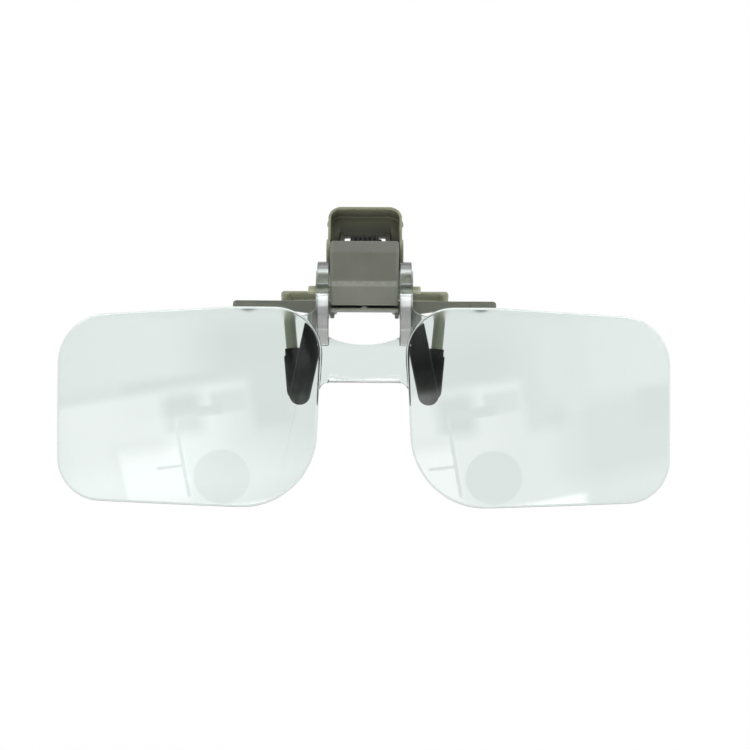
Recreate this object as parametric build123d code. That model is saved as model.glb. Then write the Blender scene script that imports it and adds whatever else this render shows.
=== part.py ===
# Clip-on eyeglass loupe: a clear plate with two magnifying lenses that hangs on the front of a
# small sprung clip and flips up. The clip's two jaws grip a pair of spectacles at the nose.
# The origin is the point between the rubber pads where a spectacle lens is gripped.
# +X is to the right seen from in front, -Y is to the front and +Z is up. Millimetres.

from build123d import *
from math import cos, pi, radians, sin, sqrt
import os

# Lens plate: two rounded lenses, the bridge between them and two ears that carry the hinge.
plate_width = 108.0
nose_gap = 15.0
lens_height = 35.15
lens_top = 12.05
top_inner_radius = 8.3
top_outer_radius = 8.7
low_outer_radius = 7.5
low_inner_radius = 13.0
low_inner_inset = 0.7
crest_run = 6.7
top_fall = 1.35
bottom_rise = 0.9
lens_curve_radius = 125.0
lens_rim = 2.0
optic_spacing = 52.0
optic_drop = 5.7
lens_edge_bevel = 0.3
web_thickness = 2.0
web_reach = 16.0
bridge_top = 5.5
bridge_end_rise = 1.3
bridge_bottom = 1.2
bridge_fillet = 1.6
web_dip = 1.4
web_dip_run = 2.3
web_run = 6.2
ear_thickness = 2.05
ear_head_radius = 5.0
ear_foot_radius = 1.1
ear_foot_height = 5.7
ear_boss = 0.25
ear_boss_radius = 3.4

# Lens hinge: an axle through the front cover, with the ears turning on its ends.
axle_forward = 8.0
axle_height = 15.2
axle_radius = 0.7
axle_stub = 1.4
axle_tip_bevel = 0.3
plate_set_forward = 0.5

# Front cover: a facetted shell, by each crease's height over the axle and its forward reach.
cover_half_width = 6.05
cover_wall = 1.05
cover_back = 4.2
cover_top_rise = 8.6
cover_top_forward = 9.6
cover_crease_rise = 6.54
cover_crease_forward = 11.3
cover_ridge_rise = 0.5
cover_ridge_width = 0.9
cover_ridge_forward = 12.5
cover_ridge_step = 0.15
cover_bottom_drop = 2.75
cover_bottom_forward = 9.9
cover_edge_round = 0.5

# Front jaw: the moulded frame with the brow bar that rests on the spectacle rims.
brow_half_length = 23.7
brow_drop = 1.7
brow_depth = 1.8
brow_front = 2.8
brow_back = 0.4
brow_end_round = 0.6
gusset_depth = 0.6
gusset_half_length = 13.6
gusset_flat_half = 9.0
nub_spacing = 42.2
nub_radius = 2.07
nub_centre_drop = 0.5
nub_proud = 0.2
shelf_thickness = 0.65
shelf_gap = 0.4
shelf_forward = 8.9
foot_drop = 1.05
foot_width = 0.75
foot_proud = 0.15
foot_fillet = 0.3
catch_width = 1.4
catch_height = 0.4
catch_depth = 1.0
side_plate = 1.05
jaw_wall = 1.4
axle_lug_radius = 1.7
front_arm_width = 2.1
front_arm_thickness = 1.3
front_arm_top_x = 8.95
front_sleeve_gap = 3.0
front_sleeve_tip_x = 12.6
front_sleeve_tip = 5.3
front_sleeve_width = 3.55
front_sleeve_thickness = 2.85
front_sleeve_round = 0.9
front_mouth_slant = 1.4
sleeve_tip_wall = 1.4
pad_gap = 0.3

# Jaw hinge and spring.
pin_rise = 6.9
pin_forward = 0.5
pin_radius = 0.9
pin_tip_bevel = 0.25
front_lug_radius = 2.2
rear_lug_radius = 2.6
coil_radius = 2.75
coil_turns = 5
coil_pitch = 1.02
spring_wire = 0.8
spring_leg = 4.6
spring_seat_gap = 0.1
spring_sides = 8

# Rear jaw: the lever tray, its ribs, the cross bar and the two round arms.
lever_lean = 26.0
lever_tip = 10.3
lever_wall = 1.1
cheek_thickness = 0.7
tray_corner = 2.4
tray_rim_height = 2.6
tray_rim = 0.5
tray_rim_tip = 0.6
bead_proud = 0.3
bead_thickness = 0.8
bead_run = 2.4
rib_inner_x = 3.75
rib_thickness = 0.85
rib_top = 6.45
window_top = 5.6
window_below = 3.4
bar_drop = 0.5
bar_radius = 0.78
bar_half_length = 15.3
rear_arm_radius = 1.0
rear_arm_top_x = 14.25
rear_arm_knee = 9.0
rear_arm_knee_x = 14.35
rear_sleeve_x = 13.3
rear_sleeve_radius = 1.5
rear_sleeve_top = 3.2
rear_sleeve_bottom = 4.4
rear_neck_length = 1.3
rear_neck_wall = 0.25

# Running clearances and the overrun of cuts.
bore_clearance = 0.05
side_clearance = 0.2
overrun = 1.0

# Worked out from the sizes above.
half_width = plate_width / 2
half_gap = nose_gap / 2
cover_top = axle_height + cover_top_rise
cover_bottom = axle_height - cover_bottom_drop
brow_top = axle_height - brow_drop
bar_bottom = brow_top - brow_depth
gusset_bottom = bar_bottom - gusset_depth
shelf_top = cover_bottom - shelf_gap
shelf_bottom = shelf_top - shelf_thickness
pin_height = axle_height + pin_rise
bar_height = axle_height - bar_drop
front_sleeve_top = bar_bottom - front_sleeve_gap
lens_bottom = lens_top - lens_height
axle_y = -axle_forward
plate_back = axle_y - plate_set_forward
ear_inner = cover_half_width + side_clearance
ear_outer = ear_inner + ear_thickness
boss_outer = ear_outer + ear_boss
axle_half_length = boss_outer + axle_stub
optic_x = optic_spacing / 2
optic_reach = half_width - optic_x
lens_sag = lens_curve_radius - sqrt(lens_curve_radius ** 2 - optic_reach ** 2)
lens_centre = lens_rim + lens_sag
pin_y = -pin_forward
lean = radians(lever_lean)
cheek_inner = cover_half_width + side_clearance
cheek_outer = cheek_inner + cheek_thickness
tray_half_width = cheek_inner + tray_rim
seat = coil_radius + spring_wire / 2 + spring_seat_gap
wall_front = pin_y + seat * cos(lean)
wall_back = wall_front + lever_wall
bar_y = (wall_front + wall_back) / 2
web_wall_top = pin_height - seat
front_pad_y = -(pad_gap + front_sleeve_thickness) / 2
rear_pad_y = pad_gap / 2 + rear_sleeve_radius


def across(sketch, x_from, x_to):
    """A sketch drawn on Y and Z, made solid from one X to another."""
    return extrude(Plane.YZ.offset(x_from) * sketch, x_to - x_from)


def forward(sketch, y_back, y_front):
    """A sketch drawn on X and Z, made solid from its back to its front."""
    return extrude(Plane.XZ.offset(-y_back) * sketch, y_back - y_front)


def both_sides(shape):
    """A shape and its mirror image on the other side of the middle plane."""
    return shape + mirror(shape, about=Plane.YZ)


def disc(x, z, radius):
    """A circle about a point of a sketch."""
    return Pos(x, z) * Circle(radius)


def outline(*points):
    """A closed face through points of a sketch."""
    return make_face(Polyline(*points, close=True))


def hull_of(*discs):
    """The face that a tight belt round some discs encloses."""
    return make_hull([edge for each in discs for edge in each.edges()])


def rod(start, end, radius):
    """A round rod between two points."""
    run = Vector(*end) - Vector(*start)
    ends_up = (Align.CENTER, Align.CENTER, Align.MIN)
    return Plane(origin=start, z_dir=run) * Cylinder(radius, run.length, align=ends_up)


def ball(centre, radius):
    """A ball about a point."""
    return Pos(*centre) * Sphere(radius)


def x_bar(y, z, radius, half_length):
    """A round bar along X."""
    return across(disc(y, z, radius), -half_length, half_length)


def lever_point(along, behind):
    """A point of the side view, by its distance up the lever and behind the jaw pin."""
    y = pin_y + along * sin(lean) + behind * cos(lean)
    z = pin_height + along * cos(lean) - behind * sin(lean)
    return (y, z)


def lens_outline():
    """The right lens seen from in front: a belt round its five corner circles."""
    inner_x = half_gap + top_inner_radius
    crest_z = lens_top - top_inner_radius
    outer_top = lens_top - top_fall - top_outer_radius
    outer_bottom = lens_bottom + bottom_rise + low_outer_radius
    low_inner_x = half_gap + low_inner_inset + low_inner_radius
    return hull_of(
        disc(inner_x, crest_z, top_inner_radius),
        disc(inner_x + crest_run, crest_z, top_inner_radius),
        disc(half_width - top_outer_radius, outer_top, top_outer_radius),
        disc(half_width - low_outer_radius, outer_bottom, low_outer_radius),
        disc(low_inner_x, lens_bottom + low_inner_radius, low_inner_radius),
    )


def web_outline():
    """The bridge and the webs beside the ears, as far as they reach into the lenses."""
    end_top = bridge_top + bridge_end_rise
    dip = (ear_outer + web_dip_run, lens_top - web_dip)
    top_arc = ThreePointArc((-ear_inner, end_top), (0, bridge_top), (ear_inner, end_top))
    right = [
        Line((ear_inner, end_top), (ear_inner, lens_top)),
        Line((ear_inner, lens_top), (ear_outer, lens_top)),
        ThreePointArc((ear_outer, lens_top), dip, (ear_outer + web_run, lens_top)),
        Line((ear_outer + web_run, lens_top), (web_reach, lens_top - top_inner_radius)),
        Line((web_reach, lens_top - top_inner_radius), (web_reach, -bridge_bottom)),
    ]
    left = [mirror(each, about=Plane.YZ) for each in right]
    foot = Line((-web_reach, -bridge_bottom), (web_reach, -bridge_bottom))
    return make_face([top_arc, foot] + right + left)


def lens_plate():
    """Both lenses, the bridge and the ears, moulded as one clear piece."""
    lens = forward(lens_outline(), plate_back, plate_back - lens_centre - overrun)
    dome_centre = (optic_x, plate_back - lens_centre + lens_curve_radius, -optic_drop)
    lens = lens & ball(dome_centre, lens_curve_radius)
    front = lens.faces().sort_by(Axis.Y)[0]
    lens = chamfer(front.edges(), lens_edge_bevel)
    lobes = both_sides(lens_outline())
    flat = lobes + web_outline()
    band = Rectangle(2 * web_reach, 2 * lens_height)
    foot_corners = flat.vertices().filter_by(
        lambda v: abs(v.Y + bridge_bottom) < lens_edge_bevel and abs(v.X) < web_reach)
    flat = fillet(foot_corners, bridge_fillet) & band
    web = forward(flat, plate_back, plate_back - web_thickness)
    foot_y = plate_back - web_thickness / 2
    ear = across(hull_of(disc(axle_y, axle_height, ear_head_radius),
                         disc(foot_y, ear_foot_height, ear_foot_radius)), ear_inner, ear_outer)
    ear += across(disc(axle_y, axle_height, ear_boss_radius), ear_inner, boss_outer)
    plate = both_sides(lens) + web + both_sides(ear)
    return plate - x_bar(axle_y, axle_height, axle_radius + bore_clearance, half_width)


def lens_axle():
    """The pin on which the ears turn, with bevelled ends outside them."""
    pin = x_bar(axle_y, axle_height, axle_radius, axle_half_length)
    return chamfer(pin.edges().filter_by(GeomType.CIRCLE), axle_tip_bevel)


def cover_outline():
    """The cover's side view: top, crease, main facet, ridge and lower facet."""
    ridge = -cover_ridge_forward
    ridge_bottom = axle_height + cover_ridge_rise
    return outline(
        (-cover_back, cover_bottom),
        (-cover_bottom_forward, cover_bottom),
        (ridge + cover_ridge_step, ridge_bottom),
        (ridge, ridge_bottom + cover_ridge_width),
        (-cover_crease_forward, axle_height + cover_crease_rise),
        (-cover_top_forward, cover_top),
        (-cover_back, cover_top),
    )


def front_cover():
    """The facetted shell over the clip's front, open at its back."""
    side_view = cover_outline()
    shell = across(side_view, -cover_half_width, cover_half_width)
    ends = shell.faces().filter_by(Axis.X)
    rims = [edge for face in ends for edge in face.edges()]
    soft = [edge for edge in rims if edge.center().Y < -cover_back - cover_edge_round]
    shell = fillet(soft, cover_edge_round)
    inside = offset(side_view, -cover_wall)
    inside = inside + Pos(cover_wall + overrun, 0) * inside
    room = cover_half_width - cover_wall
    shell = shell - across(inside, -room, room)
    return shell - x_bar(axle_y, axle_height, axle_radius, half_width)


def arm_outline(top, tip, width, slant=0):
    """A straight arm in the front view, round at its tip, with its top slanting down inwards."""
    run = Vector(*tip) - Vector(*top)
    side = Vector(-run.Y, run.X).normalized() * (width / 2)
    inner = Vector(*top) - side + run.normalized() * slant
    corners = [Vector(*top) + side, Vector(*tip) + side, Vector(*tip) - side, inner]
    return outline(*[(corner.X, corner.Y) for corner in corners]) + disc(*tip, width / 2)


def on_front_arm(height):
    """The point of the right front arm's middle line at a height."""
    share = (bar_bottom - height) / (bar_bottom + front_sleeve_tip)
    return (front_arm_top_x + share * (front_sleeve_tip_x - front_arm_top_x), height)


def front_arm():
    """The tongue inside the right front sleeve."""
    tip = on_front_arm(-front_sleeve_tip + sleeve_tip_wall + front_arm_width / 2)
    tongue = arm_outline(on_front_arm(brow_top - brow_depth / 2), tip, front_arm_width)
    half = front_arm_thickness / 2
    return forward(tongue, front_pad_y + half, front_pad_y - half)


def front_sleeve():
    """The right front rubber sleeve, closed at its tip."""
    tip = on_front_arm(-front_sleeve_tip + front_sleeve_width / 2)
    mouth = on_front_arm(front_sleeve_top)
    shape = arm_outline(mouth, tip, front_sleeve_width, front_mouth_slant)
    half = front_sleeve_thickness / 2
    sleeve = forward(shape, front_pad_y + half, front_pad_y - half)
    below_mouth = sleeve.faces().sort_by(Axis.Z)[-1].center().Z - front_sleeve_round
    around = [edge for edge in sleeve.edges()
              if abs(edge.center().Y - front_pad_y) > half / 2 and edge.center().Z < below_mouth]
    sleeve = fillet(around, front_sleeve_round)
    return sleeve - front_arm()


def brow_outline():
    """The brow bar, deeper towards the middle, with a short foot below each side plate."""
    foot_outer = cover_half_width + foot_proud
    foot_inner = foot_outer - foot_width
    foot_bottom = shelf_bottom - foot_drop
    right = [
        (brow_half_length, brow_top), (brow_half_length, bar_bottom),
        (gusset_half_length, bar_bottom), (gusset_flat_half, gusset_bottom),
        (foot_outer, gusset_bottom), (foot_outer, foot_bottom),
        (foot_inner, foot_bottom), (foot_inner, bar_bottom),
    ]
    bar = outline(*right, *[(-x, z) for x, z in reversed(right)])
    ends = bar.vertices().filter_by(lambda v: abs(v.X) > brow_half_length - brow_end_round)
    bar = fillet(ends, brow_end_round)
    inside = bar.vertices().filter_by(
        lambda v: abs(v.X) < foot_inner + foot_fillet and v.Y > bar_bottom - foot_fillet)
    return fillet(inside, foot_fillet)


def front_jaw():
    """The front frame: side plates, wall, brow bar with its nubs, shelf, lugs and arms."""
    jaw = forward(brow_outline(), -brow_back, -brow_front)
    nub = disc(nub_spacing / 2, brow_top - nub_centre_drop, nub_radius)
    under_top = Rectangle(plate_width, lens_height, align=(Align.CENTER, Align.MAX))
    nub = nub & Pos(0, brow_top) * under_top
    jaw += both_sides(forward(nub, nub_proud - brow_back, -brow_front - nub_proud))
    side = outline(
        (-cover_back, shelf_bottom), (-cover_back, cover_top - cover_wall),
        (pin_y, pin_height + front_lug_radius), (pin_y + front_lug_radius, pin_height),
        (-brow_back, brow_top), (-brow_back, gusset_bottom),
    ) + disc(pin_y, pin_height, front_lug_radius)
    side_inner = cover_half_width - side_plate
    jaw += both_sides(across(side, side_inner, cover_half_width))
    upwards = (Align.CENTER, Align.MIN)
    wall = Rectangle(2 * cover_half_width, web_wall_top - shelf_bottom, align=upwards)
    jaw += forward(Pos(0, shelf_bottom) * wall, jaw_wall - cover_back, -cover_back)
    shelf = Rectangle(2 * cover_half_width, shelf_thickness, align=upwards)
    jaw += forward(Pos(0, shelf_bottom) * shelf, -cover_back, -shelf_forward)
    catch = outline((-catch_width / 2, shelf_top), (catch_width / 2, shelf_top),
                    (0, shelf_top + catch_height))
    jaw += forward(catch, catch_depth - shelf_forward, -shelf_forward)
    lug_room = cover_wall + bore_clearance
    lug = outline(
        (-cover_back, axle_height - axle_lug_radius), (axle_y, axle_height - axle_lug_radius),
        (axle_y, axle_height + axle_lug_radius), (-cover_back, axle_height + axle_lug_radius),
    ) + disc(axle_y, axle_height, axle_lug_radius)
    lug_outer = cover_half_width - lug_room
    jaw += both_sides(across(lug, lug_outer - side_plate, lug_outer))
    jaw += both_sides(front_arm())
    jaw -= x_bar(axle_y, axle_height, axle_radius, half_width)
    return jaw - x_bar(pin_y, pin_height, pin_radius, half_width)


def front_sleeve_pair():
    """Both front sleeves by name."""
    right = front_sleeve()
    return {"front_right_sleeve": right, "front_left_sleeve": mirror(right, about=Plane.YZ)}


def jaw_pin():
    """The pin through both jaws, inside the coil."""
    pin = x_bar(pin_y, pin_height, pin_radius, cheek_outer)
    return chamfer(pin.edges().filter_by(GeomType.CIRCLE), pin_tip_bevel)


def coil_point(turn, start_x):
    """A point of the coil's middle line and its direction there, by the turns wound so far."""
    angle = 2 * pi * turn
    point = Vector(start_x + coil_pitch * turn,
                   pin_y + coil_radius * cos(angle), pin_height + coil_radius * sin(angle))
    way = Vector(coil_pitch, -2 * pi * coil_radius * sin(angle), 2 * pi * coil_radius * cos(angle))
    return point, way.normalized()


def biarc(start, start_way, end, end_way):
    """Two arcs that join two points smoothly, with a given direction at each."""
    chord = end - start
    ways = start_way + end_way
    bend = 2 * (1 - start_way.dot(end_way))
    reach = (sqrt(chord.dot(ways) ** 2 + bend * chord.dot(chord)) - chord.dot(ways)) / bend
    middle = (start + end + (start_way - end_way) * reach) * (1 / 2)
    middle_way = middle - (start + start_way * reach)
    return [Edge.make_tangent_arc(start, start_way, middle),
            Edge.make_tangent_arc(middle, middle_way.normalized(), end)]


def torsion_spring():
    """The coil round the jaw pin, with a leg on the front jaw's wall and one on the lever."""
    first_turn = -1 / 4
    last_turn = coil_turns - lever_lean / 360
    start_x = -coil_pitch * (first_turn + last_turn) / 2
    halves = round(2 * (last_turn - first_turn))
    turns = [first_turn + (last_turn - first_turn) * n / halves for n in range(halves + 1)]
    stations = [coil_point(turn, start_x) for turn in turns]
    point, way = stations[0]
    edges = [Edge.make_line(point - way * spring_leg, point)]
    for (point, way), (next_point, next_way) in zip(stations, stations[1:]):
        edges += biarc(point, way, next_point, next_way)
    point, way = stations[-1]
    edges.append(Edge.make_line(point, point + way * spring_leg))
    path = Wire(edges)
    start = Plane(origin=path @ 0, z_dir=path % 0)
    return sweep(start * RegularPolygon(spring_wire / 2, spring_sides), path)


def tray_outline(half, top, corner):
    """The lever's outline in its own leaning plane, round at the two top corners."""
    shape = Pos(0, top) * Rectangle(2 * half, top, align=(Align.CENTER, Align.MAX))
    return fillet(shape.vertices().group_by(Axis.Y)[-1], corner)


def lever_tray():
    """The leaning finger tray: a floor, a rim that grows towards the pin, and a bead at its back."""
    back = lever_point(0, seat + lever_wall)
    plane = Plane(origin=(0, *back), x_dir=(1, 0, 0), z_dir=(0, -cos(lean), sin(lean)))
    whole = tray_outline(tray_half_width, lever_tip, tray_corner)
    recess = tray_outline(cheek_inner, lever_tip - tray_rim_tip, tray_corner - tray_rim_tip)
    bead = tray_outline(tray_half_width + bead_proud, lever_tip + bead_proud, tray_corner)
    above = Rectangle(plate_width, bead_run, align=(Align.CENTER, Align.MAX))
    bead = bead & Pos(0, lever_tip + bead_proud) * above
    tray = extrude(plane * whole, lever_wall + seat)
    tray -= extrude(plane.offset(lever_wall) * recess, seat + overrun)
    tray += extrude(plane * bead, bead_thickness)
    side_view = outline(lever_point(0, 0), lever_point(rear_lug_radius, 0),
                        lever_point(lever_tip + overrun, seat - tray_rim_height),
                        lever_point(lever_tip + overrun, seat + lever_wall),
                        lever_point(0, seat + lever_wall))
    return tray & across(side_view, -half_width, half_width)


def rear_jaw():
    """The rear lever: tray, cheeks and ribs on the pin, cross bar and the two round arms."""
    knee = lever_point(0, seat)
    upright = outline((wall_front, bar_height), knee, lever_point(0, seat + lever_wall),
                      (wall_back, bar_height))
    jaw = lever_tray() + across(upright, -cheek_outer, cheek_outer)
    window_low = pin_height - window_below
    window = outline((wall_front - overrun, window_low), (wall_back + overrun, window_low),
                     lever_point(window_top, seat + lever_wall + overrun),
                     lever_point(window_top, seat - overrun))
    jaw -= across(window, -rib_inner_x, rib_inner_x)
    pin_lug = disc(pin_y, pin_height, rear_lug_radius)
    cheek = hull_of(pin_lug, disc(bar_y, bar_height, bar_radius)) + outline(
        lever_point(0, seat), lever_point(0, 0), lever_point(rear_lug_radius, 0),
        lever_point(rear_lug_radius, seat))
    jaw += both_sides(across(cheek, cheek_inner, cheek_outer))
    rib = disc(pin_y, pin_height, front_lug_radius) + outline(
        (pin_y, pin_height - front_lug_radius), (wall_front, pin_height - front_lug_radius),
        lever_point(0, seat), lever_point(rib_top, seat), lever_point(front_lug_radius, 0))
    jaw += both_sides(across(rib, rib_inner_x, rib_inner_x + rib_thickness))
    bar = x_bar(bar_y, bar_height, bar_radius, bar_half_length)
    jaw += chamfer(bar.edges().filter_by(GeomType.CIRCLE), bar_radius / 2)
    jaw += both_sides(rear_arm())
    return jaw - x_bar(pin_y, pin_height, pin_radius + bore_clearance, half_width)


def rear_arm():
    """The right round arm, from the cross bar through its knee into the sleeve."""
    top = (rear_arm_top_x, bar_y, bar_height)
    knee = (rear_arm_knee_x, rear_pad_y, rear_arm_knee)
    tip = (rear_sleeve_x, rear_pad_y, rear_sleeve_tip_z())
    arm = rod(top, knee, rear_arm_radius) + ball(knee, rear_arm_radius)
    return arm + rod(knee, tip, rear_arm_radius)


def rear_sleeve_tip_z():
    """The height of the middle of the rear sleeve's round tip."""
    return rear_sleeve_radius - rear_sleeve_bottom


def rear_sleeve():
    """The right rear rubber sleeve: a thin neck, then the full round pad, closed at its tip."""
    knee = Vector(rear_arm_knee_x, rear_pad_y, rear_arm_knee)
    tip = Vector(rear_sleeve_x, rear_pad_y, rear_sleeve_tip_z())
    up = (knee - tip).normalized()
    top = tip + up * (rear_sleeve_top - tip.Z)
    neck_top = top + up * rear_neck_length
    sleeve = rod(tip, top, rear_sleeve_radius) + ball(tip, rear_sleeve_radius)
    sleeve += rod(top, neck_top, rear_arm_radius + rear_neck_wall)
    return sleeve - rear_arm()


def rear_sleeve_pair():
    """Both rear sleeves by name."""
    right = rear_sleeve()
    return {"rear_right_sleeve": right, "rear_left_sleeve": mirror(right, about=Plane.YZ)}


parts = {
    "lens_plate": lens_plate(),
    "lens_axle": lens_axle(),
    "front_cover": front_cover(),
    "front_jaw": front_jaw(),
    "rear_jaw": rear_jaw(),
    "jaw_pin": jaw_pin(),
    "torsion_spring": torsion_spring(),
    **front_sleeve_pair(),
    **rear_sleeve_pair(),
}
os.makedirs("parts", exist_ok=True)
for name, shape in parts.items():
    export_step(shape, f"parts/{name}.step")
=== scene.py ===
"""The clip-on eyeglass loupe, dressed: clear plate, moulded clip, rubber pads, spring and pins.

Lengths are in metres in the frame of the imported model: +X is to the right seen from in front,
-Y is to the front and +Z is up. Each piece has its own operator, and main() calls them in order.
"""

import math

import bmesh
import bpy
import numpy as np
from mathutils import Matrix, Vector
from mathutils.bvhtree import BVHTree


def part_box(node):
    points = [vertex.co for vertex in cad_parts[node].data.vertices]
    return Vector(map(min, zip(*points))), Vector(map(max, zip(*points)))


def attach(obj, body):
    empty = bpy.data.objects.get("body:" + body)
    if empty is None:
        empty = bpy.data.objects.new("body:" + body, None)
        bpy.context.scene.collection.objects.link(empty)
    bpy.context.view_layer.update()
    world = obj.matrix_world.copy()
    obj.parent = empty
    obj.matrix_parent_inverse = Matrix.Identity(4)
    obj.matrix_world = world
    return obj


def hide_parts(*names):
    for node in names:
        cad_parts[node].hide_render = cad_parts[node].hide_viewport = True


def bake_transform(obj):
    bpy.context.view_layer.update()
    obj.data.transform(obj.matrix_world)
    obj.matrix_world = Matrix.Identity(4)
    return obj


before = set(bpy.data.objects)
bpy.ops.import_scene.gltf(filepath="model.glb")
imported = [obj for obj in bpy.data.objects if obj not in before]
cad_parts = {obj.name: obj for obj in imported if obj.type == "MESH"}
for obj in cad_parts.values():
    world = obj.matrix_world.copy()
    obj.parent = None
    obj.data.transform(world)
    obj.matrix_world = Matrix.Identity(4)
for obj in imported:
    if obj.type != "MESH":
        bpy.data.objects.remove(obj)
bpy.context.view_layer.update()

bl_info = {
    "name": "Clip-on loupe",
    "version": (1, 0, 0),
    "blender": (4, 5, 0),
    "location": "View3D > Sidebar > Loupe",
    "description": "Builds the visible pieces of a clip-on eyeglass loupe round its packed model",
    "category": "Object",
}

MM = 0.001
SIDES = ("left", "right")
KEPT = 0.3  # share of a moulding's fine faces that are kept
SMOOTHING = 8  # rounds of smoothing of a moulding
SHARP = math.radians(28)  # edges sharper than this are rounded off
FLAT = math.radians(0.3)  # faces that meet at less than this are one


def length(name, description, default):
    """A length that a user may change."""
    return bpy.props.FloatProperty(
        name=name, description=description, default=default, precision=5, unit="LENGTH", min=0)


def colour(name, description, default):
    """A colour that a user may change, in linear light."""
    return bpy.props.FloatVectorProperty(
        name=name, description=description, default=default, subtype="COLOR", size=3,
        min=0, max=1)


def share(name, description, default):
    """A share from nothing to all."""
    return bpy.props.FloatProperty(
        name=name, description=description, default=default, subtype="FACTOR", min=0, max=1)


class LoupeSizes(bpy.types.PropertyGroup):
    """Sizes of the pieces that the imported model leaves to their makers."""

    dome_radius: length("Dome radius", "Radius of each lens's curved front", 125 * MM)
    dome_reach: length("Dome reach", "How far the domes' tops stand before the origin",
                       13.6764 * MM)
    optic_spacing: length("Optic spacing", "Distance between the two domes' middles", 52 * MM)
    optic_tilt: length("Optic tilt", "How far outside its middle a dome faces straight ahead",
                       2.3 * MM)
    optic_drop: length("Optic drop", "How far the domes' middles lie below the origin", 5.7 * MM)
    bridge_round: length("Bridge edge", "Rounding of the bridge's lower edges", 0.75 * MM)
    plate_round: length("Plate edge", "Rounding of the clear plate's moulded edges", 0.16 * MM)
    frame_cell: length("Frame cell", "Finest detail of the two jaws", 0.11 * MM)
    cover_cell: length("Cover cell", "Finest detail of the front cover", 0.09 * MM)
    pin_round: length("Pin rounding", "Rounding of both pins' ends", 0.3 * MM)
    wire: length("Spring wire", "Thickness of the spring's wire", 0.85 * MM)
    coil_radius: length("Coil radius", "Radius of the coil's middle line", 2.85 * MM)
    coil_half: length("Coil half width", "Half the coil's length along the jaw pin", 2.62 * MM)
    coil_turns: bpy.props.IntProperty(
        name="Coil turns", description="Full turns of the close-wound coil", default=6, min=1)
    spring_leg: length("Spring leg", "Length of the spring's straight ends", 4.5 * MM)
    lever_lean: bpy.props.FloatProperty(
        name="Lever lean", description="How far the lever leans back from upright",
        default=math.radians(26), subtype="ANGLE")
    pad_cell: length("Pad cell", "Finest detail of the rubber sleeves", 0.1 * MM)
    pad_crease: length("Pad crease", "Depth of the crease down the front sleeves", 0.26 * MM)


class LoupeColours(bpy.types.PropertyGroup):
    """Colours of the loupe's materials."""

    acrylic: colour("Acrylic", "Tint of the clear plate", (0.725, 0.787, 0.768))
    grey_olive: colour("Grey olive", "Front cover and front jaw", (0.112, 0.117, 0.094))
    olive: colour("Olive", "Rear jaw and hinge axle", (0.2, 0.205, 0.14))
    rubber: colour("Rubber", "Sleeves on the arms", (0.002, 0.0021, 0.002))
    # Painted sheen: grey laid on the sleeves' lower ends for light falling from below.
    painted_sheen: colour("Bloom", "Grey bloom on the lower ends of the sleeves", (0.062, 0.064, 0.058))
    spring_steel: colour("Spring steel", "Coil and its legs", (0.004, 0.004, 0.0035))
    pin_steel: colour("Pin steel", "Pin of the jaws", (0.45, 0.44, 0.42))
    floor: colour("Floor", "Pale floor under the loupe", (0.9, 0.9, 0.9))


class LoupeStudio(bpy.types.PropertyGroup):
    """The camera's place and the strength of the lights."""

    camera_forward: length("Camera forward", "How far the camera stands before the origin", 0.3425)
    camera_right: length("Camera right", "How far the camera stands to the right", 1.95 * MM)
    camera_up: length("Camera up", "How far the camera stands over the origin", 0.17 * MM)
    focal: bpy.props.FloatProperty(
        name="Focal length", description="Focal length in millimetres on a 36 mm film",
        default=90.64, min=1)
    roll: bpy.props.FloatProperty(
        name="Roll", description="Turn of the camera about its own axis",
        default=math.radians(0.33), subtype="ANGLE")
    floor_drop: length("Floor drop", "How far the floor lies below the origin", 80 * MM)
    floor_glow: share("Floor glow", "How much of the floor shows as plain white", 0.85)
    all_round: bpy.props.FloatProperty(
        name="Light all round", description="Strength of the light from most sides", default=1.04,
        min=0)
    steep: share("Steep light", "Share of the backdrop's light far up and down", 0.25)
    overhead: bpy.props.FloatProperty(
        name="Overhead light", description="Strength of the light from straight above",
        default=1.9, min=0)


def sizes():
    """The sizes as they are set now."""
    return bpy.context.scene.loupe_sizes


def colours():
    """The colours as they are set now."""
    return bpy.context.scene.loupe_colours


def put(tree, kind, *sockets, **settings):
    """A shader node's first output. A socket is an input with its value or the output it reads."""
    made = tree.nodes.new("ShaderNode" + kind)
    for name, value in settings.items():
        setattr(made, name, value)
    for socket, value in sockets:
        if isinstance(value, bpy.types.NodeSocket):
            tree.links.new(value, made.inputs[socket])
        else:
            made.inputs[socket].default_value = value
    return made.outputs[0]


def blank(name):
    """A new material with its node tree and its Principled shader."""
    material = bpy.data.materials.new(name)
    material.use_nodes = True
    tree = material.node_tree
    return material, tree, tree.nodes["Principled BSDF"]


def object_place(tree):
    """The place on the piece in metres, which stays with it when it moves."""
    return put(tree, "TexCoord").node.outputs["Object"]


def maths(tree, operation, first, second):
    """The outcome of one sum on two values."""
    return put(tree, "Math", (0, first), (1, second), operation=operation)


def noise(tree, place, grain, detail=2.0):
    """Even noise from 0 to 1 whose spots are about one grain across."""
    return put(tree, "TexNoise", ("Vector", place), ("Scale", 1 / grain), ("Detail", detail))


def fitted(tree, value, low, high, to_low, to_high):
    """A value's range from low to high laid on another range and kept inside it."""
    return put(tree, "MapRange", ("Value", value), ("From Min", low), ("From Max", high),
               ("To Min", to_low), ("To Max", to_high))


def band(tree, value, low, high, soft):
    """1 where a value lies between two limits, fading to 0 over a soft edge outside them."""
    rise = fitted(tree, value, low - soft, low, 0, 1)
    fall = fitted(tree, value, high, high + soft, 1, 0)
    return maths(tree, "MULTIPLY", rise, fall)


def toned(tree, base, value, dark, light):
    """A colour made darker or lighter as a value goes from 0 to 1."""
    mix = tree.nodes.new("ShaderNodeMix")
    mix.data_type = "RGBA"
    mix.inputs[6].default_value = (*[dark * part for part in base], 1)
    mix.inputs[7].default_value = (*[light * part for part in base], 1)
    tree.links.new(value, mix.inputs[0])
    return mix.outputs[2]


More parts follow.
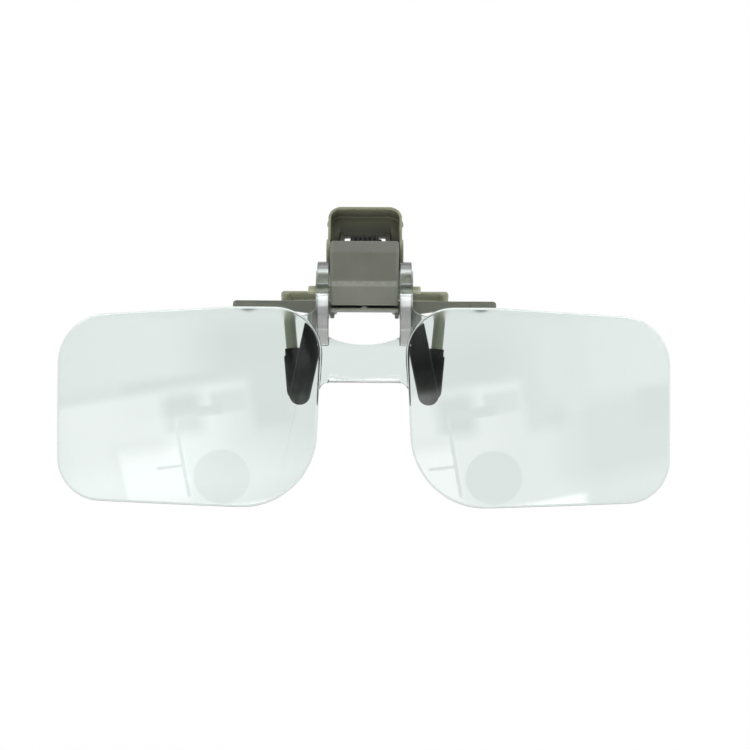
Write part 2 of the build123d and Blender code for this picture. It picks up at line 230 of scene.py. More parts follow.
def layered(tree, under, over, value):
    """One colour laid over another where a value is 1."""
    mix = tree.nodes.new("ShaderNodeMix")
    mix.data_type = "RGBA"
    for socket, source in ((0, value), (6, under), (7, over)):
        if isinstance(source, bpy.types.NodeSocket):
            tree.links.new(source, mix.inputs[socket])
        else:
            mix.inputs[socket].default_value = (*source, 1)
    return mix.outputs[2]


def stored(tree, name):
    """A value that is kept at each point of the piece's mesh."""
    return put(tree, "Attribute", attribute_name=name).node.outputs["Fac"]


RIDGE_LOW, RIDGE_HIGH = 15.95 * MM, 16.45 * MM  # the cover's scuffed ridge, from low to high
RIDGE_FRONT = -12.3 * MM  # and how far to the front it stands
CHIP, CHIP_RADIUS = Vector((1.6, -11.2, 22.15)) * MM, 0.28 * MM  # over the cover's crease
RECESS_TOP, RECESS_LOW, RECESS_HALF = 29.4 * MM, 26.6 * MM, 5 * MM  # the lever's recess
BAR_INNER, ARM_TOP = 9.5 * MM, 11 * MM  # painted light on the bars' ends starts here


def recess_shade(tree, place):
    """How much painted shade darkens the lever's recess, from its top down to its window."""
    parts = put(tree, "SeparateXYZ", ("Vector", place)).node.outputs
    low = fitted(tree, parts["Z"], RECESS_TOP, RECESS_LOW, 0.1, 0.85)
    beside = maths(tree, "ABSOLUTE", parts["X"], 0.0)
    inside = fitted(tree, beside, RECESS_HALF - 0.4 * MM, RECESS_HALF, 1, 0)
    return maths(tree, "MULTIPLY", low, inside)


def moulded_plastic(name, base, gloss_rough, marks=None, shade=None):
    """Moulded plastic: sparked grain, flow streaks, painted shade in its hollows, paler worn edges
    and any paler marks that a function adds.
    """
    material, tree, shader = blank(name)
    place = object_place(tree)
    drift = noise(tree, place, 4 * MM, 3.0)
    grain = noise(tree, place, 0.14 * MM)
    speck = noise(tree, place, 0.6 * MM, 4.0)
    drawn = put(tree, "Mapping", ("Vector", place), ("Scale", (1, 0.06, 0.06)))
    streak = noise(tree, drawn, 0.45 * MM)
    body = toned(tree, base, fitted(tree, drift, 0.3, 0.7, 0, 1), 0.93, 1.07)
    streaky = fitted(tree, streak, 0.6, 0.72, 0, 0.5)
    body = layered(tree, body, tuple(1.2 * part for part in base), streaky)
    # Paler worn edges, plus what a marks function adds: real scuffs and a chip on the cover,
    # painted light on the bars and arms of the jaws.
    wear_and_painted_light = maths(tree, "MULTIPLY", stored(tree, "wear"), fitted(tree, speck, 0.35, 0.65, 0.35, 1))
    if marks:
        wear_and_painted_light = maths(tree, "MAXIMUM", wear_and_painted_light, marks(tree, place))
    body = layered(tree, body, tuple(min(1, 1.6 * part) for part in base), wear_and_painted_light)
    # Painted shade: the colour darkened towards 0.18 of itself where the mesh is shut in, and in
    # the lever's recess.
    painted_shade = fitted(tree, stored(tree, "hollow"), 0.25, 0.8, 0, 0.9)
    if shade:
        closed_in = fitted(tree, stored(tree, "hollow"), 0.02, 0.1, 0, 1)
        painted_shade = maths(tree, "MAXIMUM", painted_shade, maths(tree, "MULTIPLY", shade(tree, place), closed_in))
    body = layered(tree, body, tuple(0.18 * part for part in base), painted_shade)
    tree.links.new(body, shader.inputs["Base Color"])
    rough = fitted(tree, speck, 0.3, 0.7, gloss_rough - 0.06, gloss_rough + 0.06)
    tree.links.new(rough, shader.inputs["Roughness"])
    bump = put(tree, "Bump", ("Strength", 0.35), ("Distance", 0.012 * MM), ("Height", grain))
    tree.links.new(bump, shader.inputs["Normal"])
    return material


def near(tree, place, spot, radius, full=0.5):
    """1 at a spot, fading from a share of a radius to 0 at the whole radius."""
    away = put(tree, "VectorMath", (0, place), (1, spot), operation="DISTANCE")
    return fitted(tree, away.node.outputs["Value"], full * radius, radius, 1, 0)


def cover_marks(tree, place):
    """The scuffs along the cover's ridge and one small chip over its crease."""
    parts = put(tree, "SeparateXYZ", ("Vector", place)).node.outputs
    ridge = band(tree, parts["Z"], RIDGE_LOW, RIDGE_HIGH, 0.12 * MM)
    front = fitted(tree, parts["Y"], RIDGE_FRONT + 0.2 * MM, RIDGE_FRONT, 0, 1)
    broken = fitted(tree, noise(tree, place, 0.9 * MM, 4.0), 0.42, 0.56, 0, 0.4)
    scuff = maths(tree, "MULTIPLY", maths(tree, "MULTIPLY", ridge, front), broken)
    chip = near(tree, place, CHIP, CHIP_RADIUS)
    return maths(tree, "MAXIMUM", scuff, chip)


def painted_light_on_bars(tree, place):
    """Painted light: the bars and arms at both sides of the clip made paler, more so higher up."""
    parts = put(tree, "SeparateXYZ", ("Vector", place)).node.outputs
    beside = maths(tree, "ABSOLUTE", parts["X"], 0.0)
    outside = fitted(tree, beside, BAR_INNER - 1.5 * MM, BAR_INNER, 0, 1)
    raised = fitted(tree, parts["Z"], ARM_TOP - 2 * MM, ARM_TOP, 0.3, 1)
    return maths(tree, "MULTIPLY", outside, raised)


def grey_olive_plastic(marks=painted_light_on_bars):
    """The cover's and the front jaw's moulding."""
    return moulded_plastic("grey_olive_plastic", colours().grey_olive, 0.46, marks)


def olive_plastic():
    """The rear jaw's and the axle's moulding, a little yellower."""
    return moulded_plastic("olive_plastic", colours().olive, 0.44, painted_light_on_bars, recess_shade)


SHEEN_TOP, SHEEN_LOW = 4.5 * MM, -4 * MM  # the sleeves' painted sheen starts and is fullest here


def black_rubber():
    """Dipped rubber: nearly black and matt, with a grey painted sheen towards the lower ends,
    where light from below falls.
    """
    material, tree, shader = blank("black_rubber")
    place = object_place(tree)
    patch = noise(tree, place, 1.6 * MM, 3.0)
    skin = noise(tree, place, 0.12 * MM, 3.0)
    height = put(tree, "SeparateXYZ", ("Vector", place)).node.outputs["Z"]
    # Painted sheen: the colour paled towards the lower ends, as light from below lights them.
    low = fitted(tree, height, SHEEN_TOP, SHEEN_LOW, 0, 1)
    sheen_share = maths(tree, "MULTIPLY", maths(tree, "POWER", low, 1.8),
                    fitted(tree, patch, 0.3, 0.65, 0.55, 1))
    body = layered(tree, tuple(colours().rubber), tuple(colours().painted_sheen), sheen_share)
    tree.links.new(body, shader.inputs["Base Color"])
    tree.links.new(fitted(tree, patch, 0.3, 0.7, 0.42, 0.56), shader.inputs["Roughness"])
    shader.inputs["Specular IOR Level"].default_value = 0.06
    bump = put(tree, "Bump", ("Strength", 0.4), ("Distance", 0.015 * MM), ("Height", skin))
    tree.links.new(bump, shader.inputs["Normal"])
    return material


EAR_FOOT, EAR_TOP = 9 * MM, 21 * MM  # heights between which the ears are hazy
EAR_OUTER = 9 * MM  # the ears' outer sides lie within this distance from the middle
# Painted light and shade in the ears' tint at each height in mm: painted shade at their roots and
# tops, and a painted highlight from 13.8 to 18.2 mm.
EAR_PAINTED_TINT = ((5, 1), (8, 0.7), (13, 0.55), (13.8, 1.25), (18.2, 1.25), (18.8, 0.1))


def clear_acrylic():
    """Moulded clear acrylic with a faint green-grey tint and the least ripple in its gloss, and
    painted light and shade in its ears' tint.
    """
    material, tree, shader = blank("clear_acrylic")
    place = object_place(tree)
    smear = noise(tree, place, 9 * MM, 3.0)
    ripple = noise(tree, place, 14 * MM, 1.0)
    parts = put(tree, "SeparateXYZ", ("Vector", place)).node.outputs
    # The ears' tint carries painted light and shade, listed by height above.
    ear_painted_tint = put(tree, "ValToRGB", ("Fac", fitted(tree, parts["Z"], 0, EAR_TOP, 0, 1))).node
    stops = ear_painted_tint.color_ramp.elements
    for n, (z, clear) in enumerate(EAR_PAINTED_TINT):
        stop = stops[n] if n < len(stops) else stops.new(1)
        stop.position = z * MM / EAR_TOP
        stop.color = (*[clear * part for part in colours().acrylic], 1)
    beside = maths(tree, "ABSOLUTE", parts["X"], 0.0)
    ear = fitted(tree, beside, EAR_OUTER, EAR_OUTER + 0.2 * MM, 1, 0)
    body = layered(tree, tuple(colours().acrylic), ear_painted_tint.outputs["Color"], ear)
    tree.links.new(body, shader.inputs["Base Color"])
    shader.inputs["Transmission Weight"].default_value = 1
    shader.inputs["IOR"].default_value = 1.49
    haze = maths(tree, "ADD", fitted(tree, smear, 0.45, 0.75, 0.0, 0.03),
                 fitted(tree, parts["Z"], EAR_FOOT, EAR_FOOT + 2 * MM, 0, 0.2))
    tree.links.new(haze, shader.inputs["Roughness"])
    bump = put(tree, "Bump", ("Strength", 0.2), ("Distance", 0.004 * MM), ("Height", ripple))
    tree.links.new(bump, shader.inputs["Normal"])
    return material


def drawn_steel(name, base, roughness, bare):
    """Drawn steel wire or rod with fine marks along X, bare or blackened."""
    material, tree, shader = blank(name)
    place = object_place(tree)
    stretch = put(tree, "Mapping", ("Vector", place), ("Scale", (0.08, 1, 1)))
    marks = noise(tree, stretch, 0.1 * MM, 3.0)
    body = toned(tree, base, fitted(tree, marks, 0.35, 0.65, 0, 1), 0.75, 1.15)
    tree.links.new(body, shader.inputs["Base Color"])
    shader.inputs["Metallic"].default_value = bare
    shader.inputs["Specular IOR Level"].default_value = 0.15
    rough = fitted(tree, marks, 0.3, 0.7, roughness - 0.08, roughness + 0.1)
    tree.links.new(rough, shader.inputs["Roughness"])
    return material


def welded(node):
    """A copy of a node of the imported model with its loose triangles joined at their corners."""
    bm = bmesh.new()
    bm.from_mesh(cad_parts[node].data)
    bmesh.ops.remove_doubles(bm, verts=bm.verts, dist=0.002 * MM)
    return bm


def object_of(name, bm):
    """A new object in the scene from a finished mesh."""
    mesh = bpy.data.meshes.new(name)
    bm.to_mesh(mesh)
    bm.free()
    piece = bpy.data.objects.new(name, mesh)
    bpy.context.scene.collection.objects.link(piece)
    return piece


def settle(piece):
    """Works a piece's modifiers into a plain mesh."""
    graph = bpy.context.evaluated_depsgraph_get()
    mesh = bpy.data.meshes.new_from_object(piece.evaluated_get(graph))
    mesh.name = piece.name
    piece.modifiers.clear()
    piece.data = mesh


def dress(piece, material, body, slot, *nodes):
    """Gives a piece its material, the body that it moves with and the nodes that it stands for."""
    piece.data.materials.clear()
    piece.data.materials.append(material)
    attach(piece, body)
    if nodes:
        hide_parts(*nodes)


def mark_wear(mesh, full, spread):
    """Stores how sharply each spot stands out, from 0 on flats to 1 on edges, as "wear"."""
    count = len(mesh.vertices)
    place = np.empty(count * 3)
    mesh.vertices.foreach_get("co", place)
    place = place.reshape(-1, 3)
    normal = np.empty(count * 3)
    mesh.vertex_normals.foreach_get("vector", normal)
    normal = normal.reshape(-1, 3)
    ends = np.empty(len(mesh.edges) * 2, int)
    mesh.edges.foreach_get("vertices", ends)
    first, second = ends.reshape(-1, 2).T
    degree = np.bincount(ends, minlength=count)

    def around(values):
        """The mean of a value over each spot's neighbours."""
        total = np.zeros_like(values)
        np.add.at(total, first, values[second])
        np.add.at(total, second, values[first])
        return (total.T / degree).T

    proud = ((place - around(place)) * normal).sum(1) / full
    for _ in range(spread):
        proud = around(proud)
    wear = mesh.attributes.new("wear", "FLOAT", "POINT")
    wear.data.foreach_set("value", np.clip(proud, 0, 1).astype(np.float32))


def mark_hollows(mesh, reach=9 * MM, rays=24):
    """Stores how shut in each spot is, from 0 in the open to 1 deep in a corner, as "hollow"."""
    around = bmesh.new()
    around.from_mesh(mesh)
    tree = BVHTree.FromBMesh(around)
    around.free()
    golden = math.pi * (3 - math.sqrt(5))
    ways = []
    for n in range(rays):
        height = math.sqrt((n + 0.5) / rays)
        flat = math.sqrt(1 - height * height)
        ways.append(Vector((flat * math.cos(golden * n), flat * math.sin(golden * n), height)))
    hollow = mesh.attributes.new("hollow", "FLOAT", "POINT")
    for vertex in mesh.vertices:
        turn = vertex.normal.to_track_quat("Z", "X")
        start = vertex.co + 0.05 * MM * vertex.normal
        met = sum(tree.ray_cast(start, turn @ way, reach)[0] is not None for way in ways)
        hollow.data[vertex.index].value = met / rays


def moulding(name, bm, cell, shape=None):
    """A moulded piece with every edge and inner corner softened as a mould leaves them."""
    piece = object_of(name, bm)
    fine = piece.modifiers.new("cells", "REMESH")
    fine.mode = "VOXEL"
    fine.voxel_size = cell
    soften = piece.modifiers.new("soften", "SMOOTH")
    soften.factor = 0.5
    soften.iterations = SMOOTHING
    settle(piece)
    if shape:
        shape(piece.data)
    mark_wear(piece.data, 0.08 * cell, SMOOTHING // 2)
    thin = piece.modifiers.new("thin", "DECIMATE")
    thin.ratio = KEPT
    settle(piece)
    piece.data.shade_smooth()
    return piece


ROD_STEPS = 40  # flats round a turned rod


def lathed(name, profile, steps=ROD_STEPS):
    """A turned rod along X from its profile of places along it and radii, closed at both ends."""
    bm = bmesh.new()
    rings = []
    for x, radius in profile:
        turn = [2 * math.pi * n / steps for n in range(steps)]
        ring = [bm.verts.new((x, radius * math.cos(a), radius * math.sin(a))) for a in turn]
        rings.append(ring)
    for ring, after in zip(rings, rings[1:]):
        for n in range(steps):
            bm.faces.new((ring[n], after[n], after[n - 1], ring[n - 1]))
    bm.faces.new(rings[0])
    bm.faces.new(reversed(rings[-1]))
    bmesh.ops.recalc_face_normals(bm, faces=bm.faces)
    return object_of(name, bm)


def round_ended(half, radius, rounding):
    """The profile of a rod whose two ends are rounded off."""
    steps = 5
    quarter = [math.pi / 2 * n / steps for n in range(steps + 1)]
    right = [(half - rounding * (1 - math.sin(a)), radius - rounding * (1 - math.cos(a)))
             for a in quarter]
    left = [(-x, r) for x, r in reversed(right)]
    return left + right


def set_on_node(piece, node):
    """Moves a piece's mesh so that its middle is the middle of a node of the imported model."""
    low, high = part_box(node)
    piece.data.transform(Matrix.Translation((low + high) / 2))
    return piece


PLATE_CUTS = (-20 * MM, -7.5 * MM, 0, 7.5 * MM, 20 * MM)  # where its widest faces are parted
BRIDGE_HALF, BRIDGE_LOW = 7.2 * MM, -4 * MM  # the bridge's edges lie inside these limits


class LOUPE_OT_clear_plate(bpy.types.Operator):
    """Makes the clear plate: both lenses, the bridge and the ears of the hinge"""

    bl_idname = "loupe.clear_plate"
    bl_label = "Clear plate"

    def execute(self, context):
        bm = welded("lens_plate")
        bmesh.ops.dissolve_limit(bm, angle_limit=FLAT, verts=bm.verts, edges=bm.edges)
        for x in PLATE_CUTS:
            whole = [*bm.verts, *bm.edges, *bm.faces]
            bmesh.ops.bisect_plane(bm, geom=whole, plane_co=(x, 0, 0), plane_no=(1, 0, 0))
        self.round_off(bm, self.under_bridge, sizes().bridge_round, 4)
        self.round_off(bm, lambda edge: True, sizes().plate_round, 2)
        piece = object_of("clear_plate", bm)
        piece.data.shade_smooth()
        piece.modifiers.new("even", "WEIGHTED_NORMAL")
        settle(piece)
        self.polish_domes(piece.data)
        dress(piece, clear_acrylic(), "lens", "clear_acrylic", "lens_plate")
        return {"FINISHED"}

    @staticmethod
    def round_off(bm, wanted, rounding, segments):
        """Rounds off those of the mesh's sharp edges that are wanted."""
        sharp = [edge for edge in bm.edges if edge.calc_face_angle() > SHARP and wanted(edge)]
        bmesh.ops.bevel(bm, geom=sharp, offset=rounding, segments=segments, profile=0.5,
                        affect="EDGES", clamp_overlap=False)

    @staticmethod
    def under_bridge(edge):
        """Whether an edge runs along the bottom of the bridge between the lenses."""
        first, second = (vertex.co for vertex in edge.verts)
        level = abs(first.z - second.z) < 0.2 * abs(first.x - second.x)
        between = max(abs(first.x), abs(second.x)) < BRIDGE_HALF
        return level and between and BRIDGE_LOW < first.z < 0

    @staticmethod
    def polish_domes(mesh):
        """Gives the two curved fronts the exact slopes of their spheres."""
        radius = sizes().dome_radius
        near_dome = 0.025 * MM
        slopes = [Vector(normal.vector) for normal in mesh.corner_normals]
        for loop in mesh.loops:
            place = mesh.vertices[loop.vertex_index].co
            side = 1 if place.x > 0 else -1
            middle = Vector((side * sizes().optic_spacing / 2, radius - sizes().dome_reach,
                             -sizes().optic_drop))
            way = place - middle
            if abs(way.length - radius) < near_dome:
                way.x -= side * sizes().optic_tilt
                slopes[loop.index] = way.normalized()
        mesh.normals_split_custom_set(slopes)


class LOUPE_OT_hinge_axle(bpy.types.Operator):
    """Makes the axle that the plate's ears turn on"""

    bl_idname = "loupe.hinge_axle"
    bl_label = "Hinge axle"

    def execute(self, context):
        low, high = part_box("lens_axle")
        profile = round_ended((high.x - low.x) / 2, (high.z - low.z) / 2, sizes().pin_round)
        piece = set_on_node(lathed("hinge_axle", profile), "lens_axle")
        piece.data.shade_smooth()
        dress(piece, olive_plastic(), "clip", "olive_plastic", "lens_axle")
        return {"FINISHED"}


class LOUPE_OT_jaw_pin(bpy.types.Operator):
    """Makes the steel pin that both jaws turn on"""

    bl_idname = "loupe.jaw_pin"
    bl_label = "Jaw pin"

    def execute(self, context):
        low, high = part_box("jaw_pin")
        profile = round_ended((high.x - low.x) / 2, (high.z - low.z) / 2, sizes().pin_round)
        piece = set_on_node(lathed("jaw_pin_rod", profile), "jaw_pin")
        piece.data.shade_smooth()
        steel = drawn_steel("pin_steel", colours().pin_steel, 0.3, 1)
        dress(piece, steel, "clip", "pin_steel", "jaw_pin")
        return {"FINISHED"}


class LOUPE_OT_front_cover(bpy.types.Operator):
    """Makes the facetted shell over the front of the clip"""

    bl_idname = "loupe.front_cover"
    bl_label = "Front cover"

    def execute(self, context):
        piece = moulding("cover_shell", welded("front_cover"), sizes().cover_cell)
        mark_hollows(piece.data)
        plastic = grey_olive_plastic(cover_marks)
        dress(piece, plastic, "clip", "grey_olive_plastic", "front_cover")
        return {"FINISHED"}


class LOUPE_OT_front_frame(bpy.types.Operator):
    """Makes the front jaw with its brow bar"""

    bl_idname = "loupe.front_frame"
    bl_label = "Front frame"

    def execute(self, context):
        piece = moulding("front_frame", welded("front_jaw"), sizes().frame_cell)
        mark_hollows(piece.data)
        dress(piece, grey_olive_plastic(), "clip", "grey_olive_plastic", "front_jaw")
        return {"FINISHED"}


BAR_LOW, BAR_START, BAR_SAG = 12.8 * MM, 6.5 * MM, 0.25 * MM  # the cross bar's ends and their sag


class LOUPE_OT_lever_frame(bpy.types.Operator):
    """Makes the rear jaw with its finger tray and round arms"""

    bl_idname = "loupe.lever_frame"
    bl_label = "Lever frame"

    def execute(self, context):
        piece = moulding("lever_frame", welded("rear_jaw"), sizes().frame_cell, self.deepened)
        mark_hollows(piece.data)
        dress(piece, olive_plastic(), "lever", "olive_plastic", "rear_jaw")
        return {"FINISHED"}

    @staticmethod
    def deepened(mesh):
        """Lets the cross bar's ends sag a little, as in the moulded part."""
        for vertex in mesh.vertices:
            place = vertex.co
            if vertex.normal.z < -0.5 and place.z > BAR_LOW:
                place.z -= BAR_SAG * min(1, max(0, (abs(place.x) - BAR_START) / MM))


def spring_path():
    """The spring's middle line: a leg on the front jaw, the coil, and a leg on the lever."""
    low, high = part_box("jaw_pin")
    middle = (low + high) / 2
    first, last = -math.pi / 2, 2 * math.pi * sizes().coil_turns - sizes().lever_lean
    radius, half = sizes().coil_radius, sizes().coil_half
    per_turn = 32
    steps = round((last - first) / (2 * math.pi) * per_turn)

    def on_coil(n):
        """A point of the coil and the direction of the wire there."""
        angle = first + (last - first) * n / steps
        x = -half + 2 * half * n / steps
        point = middle + Vector((x, radius * math.cos(angle), radius * math.sin(angle)))
        return point, Vector((0, -math.sin(angle), math.cos(angle)))

    start, start_way = on_coil(0)
    end, end_way = on_coil(steps)
    leg = sizes().spring_leg
    coil = [on_coil(n)[0] for n in range(steps + 1)]
    return [start - start_way * leg, *coil, end + end_way * leg]


def wire_tree(material):
    """Geometry nodes that sweep a round wire along a path."""
    tree = bpy.data.node_groups.new("wire_sweep", "GeometryNodeTree")
    face = tree.interface
    face.new_socket("Path", in_out="INPUT", socket_type="NodeSocketGeometry")
    face.new_socket("Wire radius", in_out="INPUT", socket_type="NodeSocketFloat")
    face.new_socket("Sides", in_out="INPUT", socket_type="NodeSocketInt")
    face.new_socket("Wire", in_out="OUTPUT", socket_type="NodeSocketGeometry")
    given = tree.nodes.new("NodeGroupInput")
    ring = tree.nodes.new("GeometryNodeCurvePrimitiveCircle")
    sweep = tree.nodes.new("GeometryNodeCurveToMesh")
    sweep.inputs["Fill Caps"].default_value = True
    smooth = tree.nodes.new("GeometryNodeSetShadeSmooth")
    real = tree.nodes.new("GeometryNodeRealizeInstances")
    paint = tree.nodes.new("GeometryNodeSetMaterial")
    paint.inputs["Material"].default_value = material
    result = tree.nodes.new("NodeGroupOutput")
    for source, socket, node, name in (
            (given, "Path", sweep, "Curve"), (given, "Wire radius", ring, "Radius"),
            (given, "Sides", ring, "Resolution"), (ring, "Curve", sweep, "Profile Curve"),
            (sweep, "Mesh", smooth, "Geometry"), (smooth, "Geometry", real, "Geometry"),
            (real, "Geometry", paint, "Geometry"), (paint, "Geometry", result, "Wire")):
        tree.links.new(source.outputs[socket], node.inputs[name])
    return tree


class LOUPE_OT_spring(bpy.types.Operator):
    """Makes the torsion spring round the jaw pin"""

    bl_idname = "loupe.spring"
    bl_label = "Spring"

    def execute(self, context):
        steel = drawn_steel("spring_steel", colours().spring_steel, 0.55, 0)
        points = spring_path()
        line = bpy.data.curves.new("spring_path", "CURVE")
        line.dimensions = "3D"
        path = line.splines.new("POLY")
        path.points.add(len(points) - 1)
        for point, place in zip(path.points, points):
            point.co = (*place, 1)
        carrier = bpy.data.objects.new("spring_path", line)
        context.scene.collection.objects.link(carrier)
        tree = wire_tree(steel)
        sweep = carrier.modifiers.new("sweep", "NODES")
        sweep.node_group = tree
        asked = {"Wire radius": sizes().wire / 2, "Sides": 16}
        for item in tree.interface.items_tree:
            if item.name in asked:
                sweep[item.identifier] = asked[item.name]
        graph = context.evaluated_depsgraph_get()
        mesh = bpy.data.meshes.new_from_object(carrier.evaluated_get(graph))
        bpy.data.objects.remove(carrier)
        piece = bpy.data.objects.new("spring_coil", mesh)
        context.scene.collection.objects.link(piece)
        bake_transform(piece)
        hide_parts("torsion_spring")
        return {"FINISHED"}


# The right front arm's middle line, and the crease down its sleeve.
ARM_START, ARM_END = Vector((8.95, 0, 11.7)) * MM, Vector((12.6, 0, -5.3)) * MM
CREASE_WIDTH, CREASE_START = 0.4 * MM, 0.6


class LOUPE_OT_front_pads(bpy.types.Operator):
    """Makes the two front rubber sleeves"""

    bl_idname = "loupe.front_pads"
    bl_label = "Front pads"

    def execute(self, context):
        rubber = black_rubber()
        for side in SIDES:
            node = f"front_{side}_sleeve"
            piece = moulding(f"front_{side}_pad", welded(node), sizes().pad_cell, self.creased)
            dress(piece, rubber, "clip", "black_rubber", node)
        return {"FINISHED"}

    @staticmethod
    def creased(mesh):
        """Presses a crease into the front of a sleeve, from its middle down to its tip."""
        for vertex in mesh.vertices:
            place = vertex.co
            down = (ARM_START.z - place.z) / (ARM_START.z - ARM_END.z)
            middle = ARM_START.x + down * (ARM_END.x - ARM_START.x)
            beside = (abs(place.x) - middle) / CREASE_WIDTH
            depth = min(1, max(0, 4 * (down - CREASE_START)))
            if vertex.normal.y < -0.6:
                place.y += sizes().pad_crease * depth * math.exp(-beside * beside)


class LOUPE_OT_rear_pads(bpy.types.Operator):
    """Makes the two rear rubber sleeves"""

    bl_idname = "loupe.rear_pads"
    bl_label = "Rear pads"

    def execute(self, context):
        rubber = black_rubber()
        for side in SIDES:
            node = f"rear_{side}_sleeve"
            piece = moulding(f"rear_{side}_pad", welded(node), sizes().pad_cell)
            dress(piece, rubber, "lever", "black_rubber", node)
        return {"FINISHED"}


# The room before the loupe as the clear plate mirrors it, turned a little as seen from there. Each
# row is a patch of light with its strength and its spans across and up, as slopes from straight
# ahead: low, high and soft edge. A row covers those before it.
ROOM_TURN = 0.158
ROOM = (
    (2.5, (-0.9, 0.9, 0.2), (-1.2, 0.06, 0.03)),  # table
    (3.4, (-0.6, -0.06, 0.1), (-1.2, 0.06, 0.03)),  # its brighter left
    (0.2, (-0.9, 0.9, 0.3), (0.1, 2.2, 0.04)),  # dim wall above
    (0.5, (0.3, 0.8, 0.25), (-0.5, 0.9, 0.1)),  # dim wall at the right
    (0.05, (-0.3, 0.3, 0.06), (0.18, 0.45, 0.08)),  # dark over the camera
    (0.15, (0.1, 0.3, 0.04), (0, 0.2, 0.03)),  # dark doorway at the right
    (1, (-0.05, 0.05, 0.02), (-0.02, 0.03, 0.02)),  # camera
    (0.08, (-0.2, -0.12, 0.05), (-0.06, 0.03, 0.05)),  # person at the camera, at the left
    (0.1, (0.1, 0.19, 0.05), (-0.08, 0.03, 0.05)),  # and at the right
    (0.45, (-0.19, -0.03, 0.01), (-0.03, -0.002, 0.006)),  # camera's arm
    (3, (-0.44, -0.19, 0.02), (-0.3, -0.085, 0.015)),  # window
    (5.5, (-0.41, -0.19, 0.02), (-0.3, -0.15, 0.05)),  # window's brightest part
    (1, (-0.193, -0.183, 0.003), (-0.3, -0.03, 0.01)),  # mullion
    (1, (-0.28, -0.19, 0.01), (-0.194, -0.186, 0.003)),  # sash bar
    (8, (-0.27, 0.22, 0.05), (-0.8, -0.37, 0.02)),  # low lamp
)
ROOM_DISC = (1.2, (-0.065, -0.25, 0), 0.1)  # strength, middle and radius of a round lens hood


FLOOR_HALF, FLOOR_BACK = 1, 0.88  # half the floor's width, and how far back its middle lies
FLOOR_NEAR, FLOOR_FAR = 100 * MM, 130 * MM  # through the plate the floor is white from here on
FRONT_FROM, FRONT_FULL = 0.1, 0.4  # a way counts as frontward between these shares of -Y
OVERHEAD_FROM, OVERHEAD_FULL = 0.8, 0.9  # and as straight up between these shares of +Z
STEEP_FROM, STEEP_FULL = 0.5, 0.62  # the backdrop fades between these shares of Z


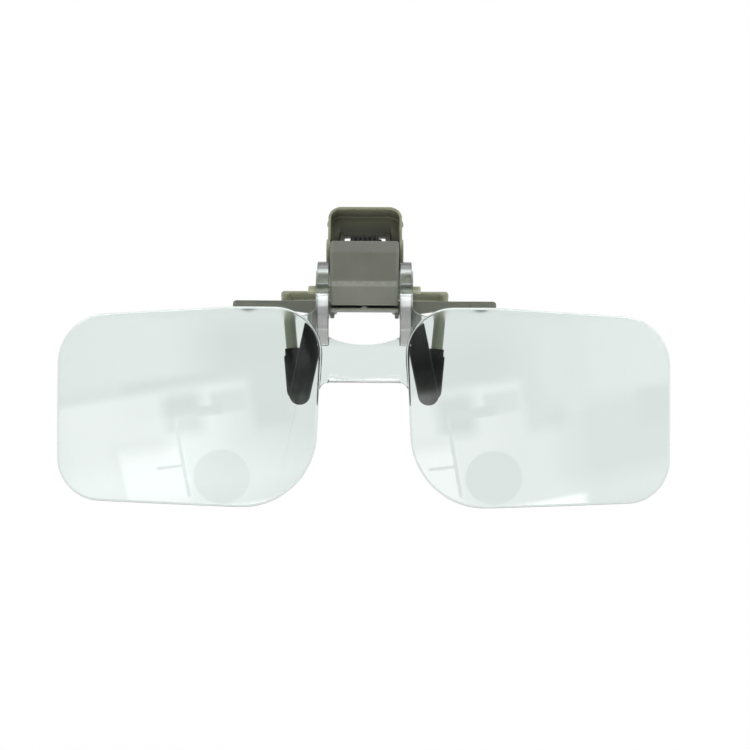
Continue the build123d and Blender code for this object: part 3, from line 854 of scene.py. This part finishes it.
class LOUPE_OT_stage(bpy.types.Operator):
    """Makes the floor, the lights, the world and the camera"""

    bl_idname = "loupe.stage"
    bl_label = "Stage"

    def execute(self, context):
        context.scene.view_settings.view_transform = "Standard"
        self.make_floor(context)
        self.make_world(context)
        self.make_camera(context)
        return {"FINISHED"}

    @staticmethod
    def make_floor(context):
        """A wide pale floor that shows as white where nothing shades it."""
        studio = context.scene.loupe_studio
        bm = bmesh.new()
        bmesh.ops.create_grid(bm, x_segments=1, y_segments=1, size=FLOOR_HALF)
        bmesh.ops.translate(bm, verts=bm.verts, vec=(0, FLOOR_BACK, -studio.floor_drop))
        floor = object_of("floor", bm)
        material = bpy.data.materials.new("pale_floor")
        material.use_nodes = True
        tree = material.node_tree
        tree.nodes.clear()
        plain = put(tree, "BsdfDiffuse", ("Color", (*colours().floor, 1)))
        white = put(tree, "Emission")
        path = put(tree, "LightPath").node
        away = put(tree, "VectorMath", (0, object_place(tree)), operation="LENGTH")
        far = fitted(tree, away.node.outputs["Value"], FLOOR_NEAR, FLOOR_FAR, 0, 1)
        through = maths(tree, "MULTIPLY", path.outputs["Is Transmission Ray"], far)
        seen = maths(tree, "MAXIMUM", path.outputs["Is Camera Ray"], through)
        glow = maths(tree, "MULTIPLY", seen, studio.floor_glow)
        mix = put(tree, "MixShader", (0, glow), (1, plain), (2, white))
        result = tree.nodes.new("ShaderNodeOutputMaterial")
        tree.links.new(mix, result.inputs["Surface"])
        floor.data.materials.append(material)

    @staticmethod
    def make_world(context):
        """Light from all round and from above, and the room that the plate mirrors before it."""
        studio = context.scene.loupe_studio
        world = bpy.data.worlds.new("studio_light")
        world.use_nodes = True
        context.scene.world = world
        tree = world.node_tree
        tree.nodes.clear()
        way = put(tree, "TexCoord").node.outputs["Generated"]
        way = put(tree, "SeparateXYZ", ("Vector", way)).node.outputs
        ahead = maths(tree, "MULTIPLY", way["Y"], -1.0)
        before = fitted(tree, ahead, FRONT_FROM, FRONT_FULL, 0, 1)
        depth = maths(tree, "MAXIMUM", ahead, FRONT_FROM)
        plain_across = maths(tree, "DIVIDE", way["X"], depth)
        plain_up = maths(tree, "DIVIDE", way["Z"], depth)
        across = maths(tree, "ADD", plain_across, maths(tree, "MULTIPLY", plain_up, ROOM_TURN))
        up = maths(tree, "SUBTRACT", plain_up, maths(tree, "MULTIPLY", plain_across, ROOM_TURN))
        level = fitted(tree, way["Z"], OVERHEAD_FROM, OVERHEAD_FULL, studio.all_round,
                       studio.overhead)
        for strength, *spans in ROOM:
            inside = before
            for value, (low, high, soft) in zip((across, up), spans):
                inside = maths(tree, "MULTIPLY", inside, band(tree, value, low, high, soft))
            level = put(tree, "Mix", (0, inside), (2, level), (3, strength))
        strength, middle, radius = ROOM_DISC
        spot = put(tree, "CombineXYZ", ("X", across), ("Y", up))
        disc = maths(tree, "MULTIPLY", before, near(tree, spot, middle, radius, 0.95))
        level = put(tree, "Mix", (0, disc), (2, level), (3, strength))
        path = put(tree, "LightPath").node.outputs
        slope = maths(tree, "ABSOLUTE", way["Z"], 0.0)
        steep = fitted(tree, slope, STEEP_FROM, STEEP_FULL, 1, studio.steep)
        behind = maths(tree, "MULTIPLY", path["Is Transmission Ray"],
                       maths(tree, "SUBTRACT", 1.0, before))
        level = put(tree, "Mix", (0, behind), (2, level), (3, steep))
        strength = put(tree, "Mix", (0, path["Is Camera Ray"]), (2, level), (3, 1.0))
        light = put(tree, "Background", ("Color", (1, 1, 1, 1)), ("Strength", strength))
        result = tree.nodes.new("ShaderNodeOutputWorld")
        tree.links.new(light, result.inputs["Surface"])

    @staticmethod
    def make_camera(context):
        """The camera, nearly level with the clamp's middle and straight in front of it."""
        studio = context.scene.loupe_studio
        camera = bpy.data.cameras.new("camera")
        camera.lens = studio.focal
        camera.sensor_width = 36
        camera.clip_start, camera.clip_end = 0.01, 10
        view = bpy.data.objects.new("camera", camera)
        turned = Matrix.Rotation(math.pi / 2, 4, "X") @ Matrix.Rotation(studio.roll, 4, "Z")
        place = (studio.camera_right, -studio.camera_forward, studio.camera_up)
        view.matrix_world = Matrix.Translation(place) @ turned
        context.scene.collection.objects.link(view)
        context.scene.camera = view


class LOUPE_PT_pieces(bpy.types.Panel):
    """Lists the pieces and the sizes and colours that can be set"""

    bl_idname = "LOUPE_PT_pieces"
    bl_label = "Clip-on loupe"
    bl_space_type = "VIEW_3D"
    bl_region_type = "UI"
    bl_category = "Loupe"

    def draw(self, context):
        layout = self.layout
        for operator in OPERATORS:
            layout.operator(operator.bl_idname)
        for group in (context.scene.loupe_sizes, context.scene.loupe_colours,
                      context.scene.loupe_studio):
            box = layout.box()
            for name in group.__annotations__:
                box.prop(group, name)


OPERATORS = (
    LOUPE_OT_stage,
    LOUPE_OT_clear_plate,
    LOUPE_OT_hinge_axle,
    LOUPE_OT_jaw_pin,
    LOUPE_OT_front_cover,
    LOUPE_OT_front_frame,
    LOUPE_OT_lever_frame,
    LOUPE_OT_spring,
    LOUPE_OT_front_pads,
    LOUPE_OT_rear_pads,
)
GROUPS = {
    "loupe_sizes": LoupeSizes,
    "loupe_colours": LoupeColours,
    "loupe_studio": LoupeStudio,
}


def register():
    """Makes the operators, the panel and the settings known to Blender."""
    for kind in (*GROUPS.values(), *OPERATORS, LOUPE_PT_pieces):
        bpy.utils.register_class(kind)
    for name, kind in GROUPS.items():
        setattr(bpy.types.Scene, name, bpy.props.PointerProperty(type=kind))


def unregister():
    """Takes them away again."""
    for name in GROUPS:
        delattr(bpy.types.Scene, name)
    for kind in (LOUPE_PT_pieces, *reversed(OPERATORS), *reversed(GROUPS.values())):
        bpy.utils.unregister_class(kind)


def main():
    """Builds every piece."""
    register()
    bpy.ops.loupe.stage()
    bpy.ops.loupe.clear_plate()
    bpy.ops.loupe.hinge_axle()
    bpy.ops.loupe.jaw_pin()
    bpy.ops.loupe.front_cover()
    bpy.ops.loupe.front_frame()
    bpy.ops.loupe.lever_frame()
    bpy.ops.loupe.spring()
    bpy.ops.loupe.front_pads()
    bpy.ops.loupe.rear_pads()


if __name__ == "__main__":
    main()
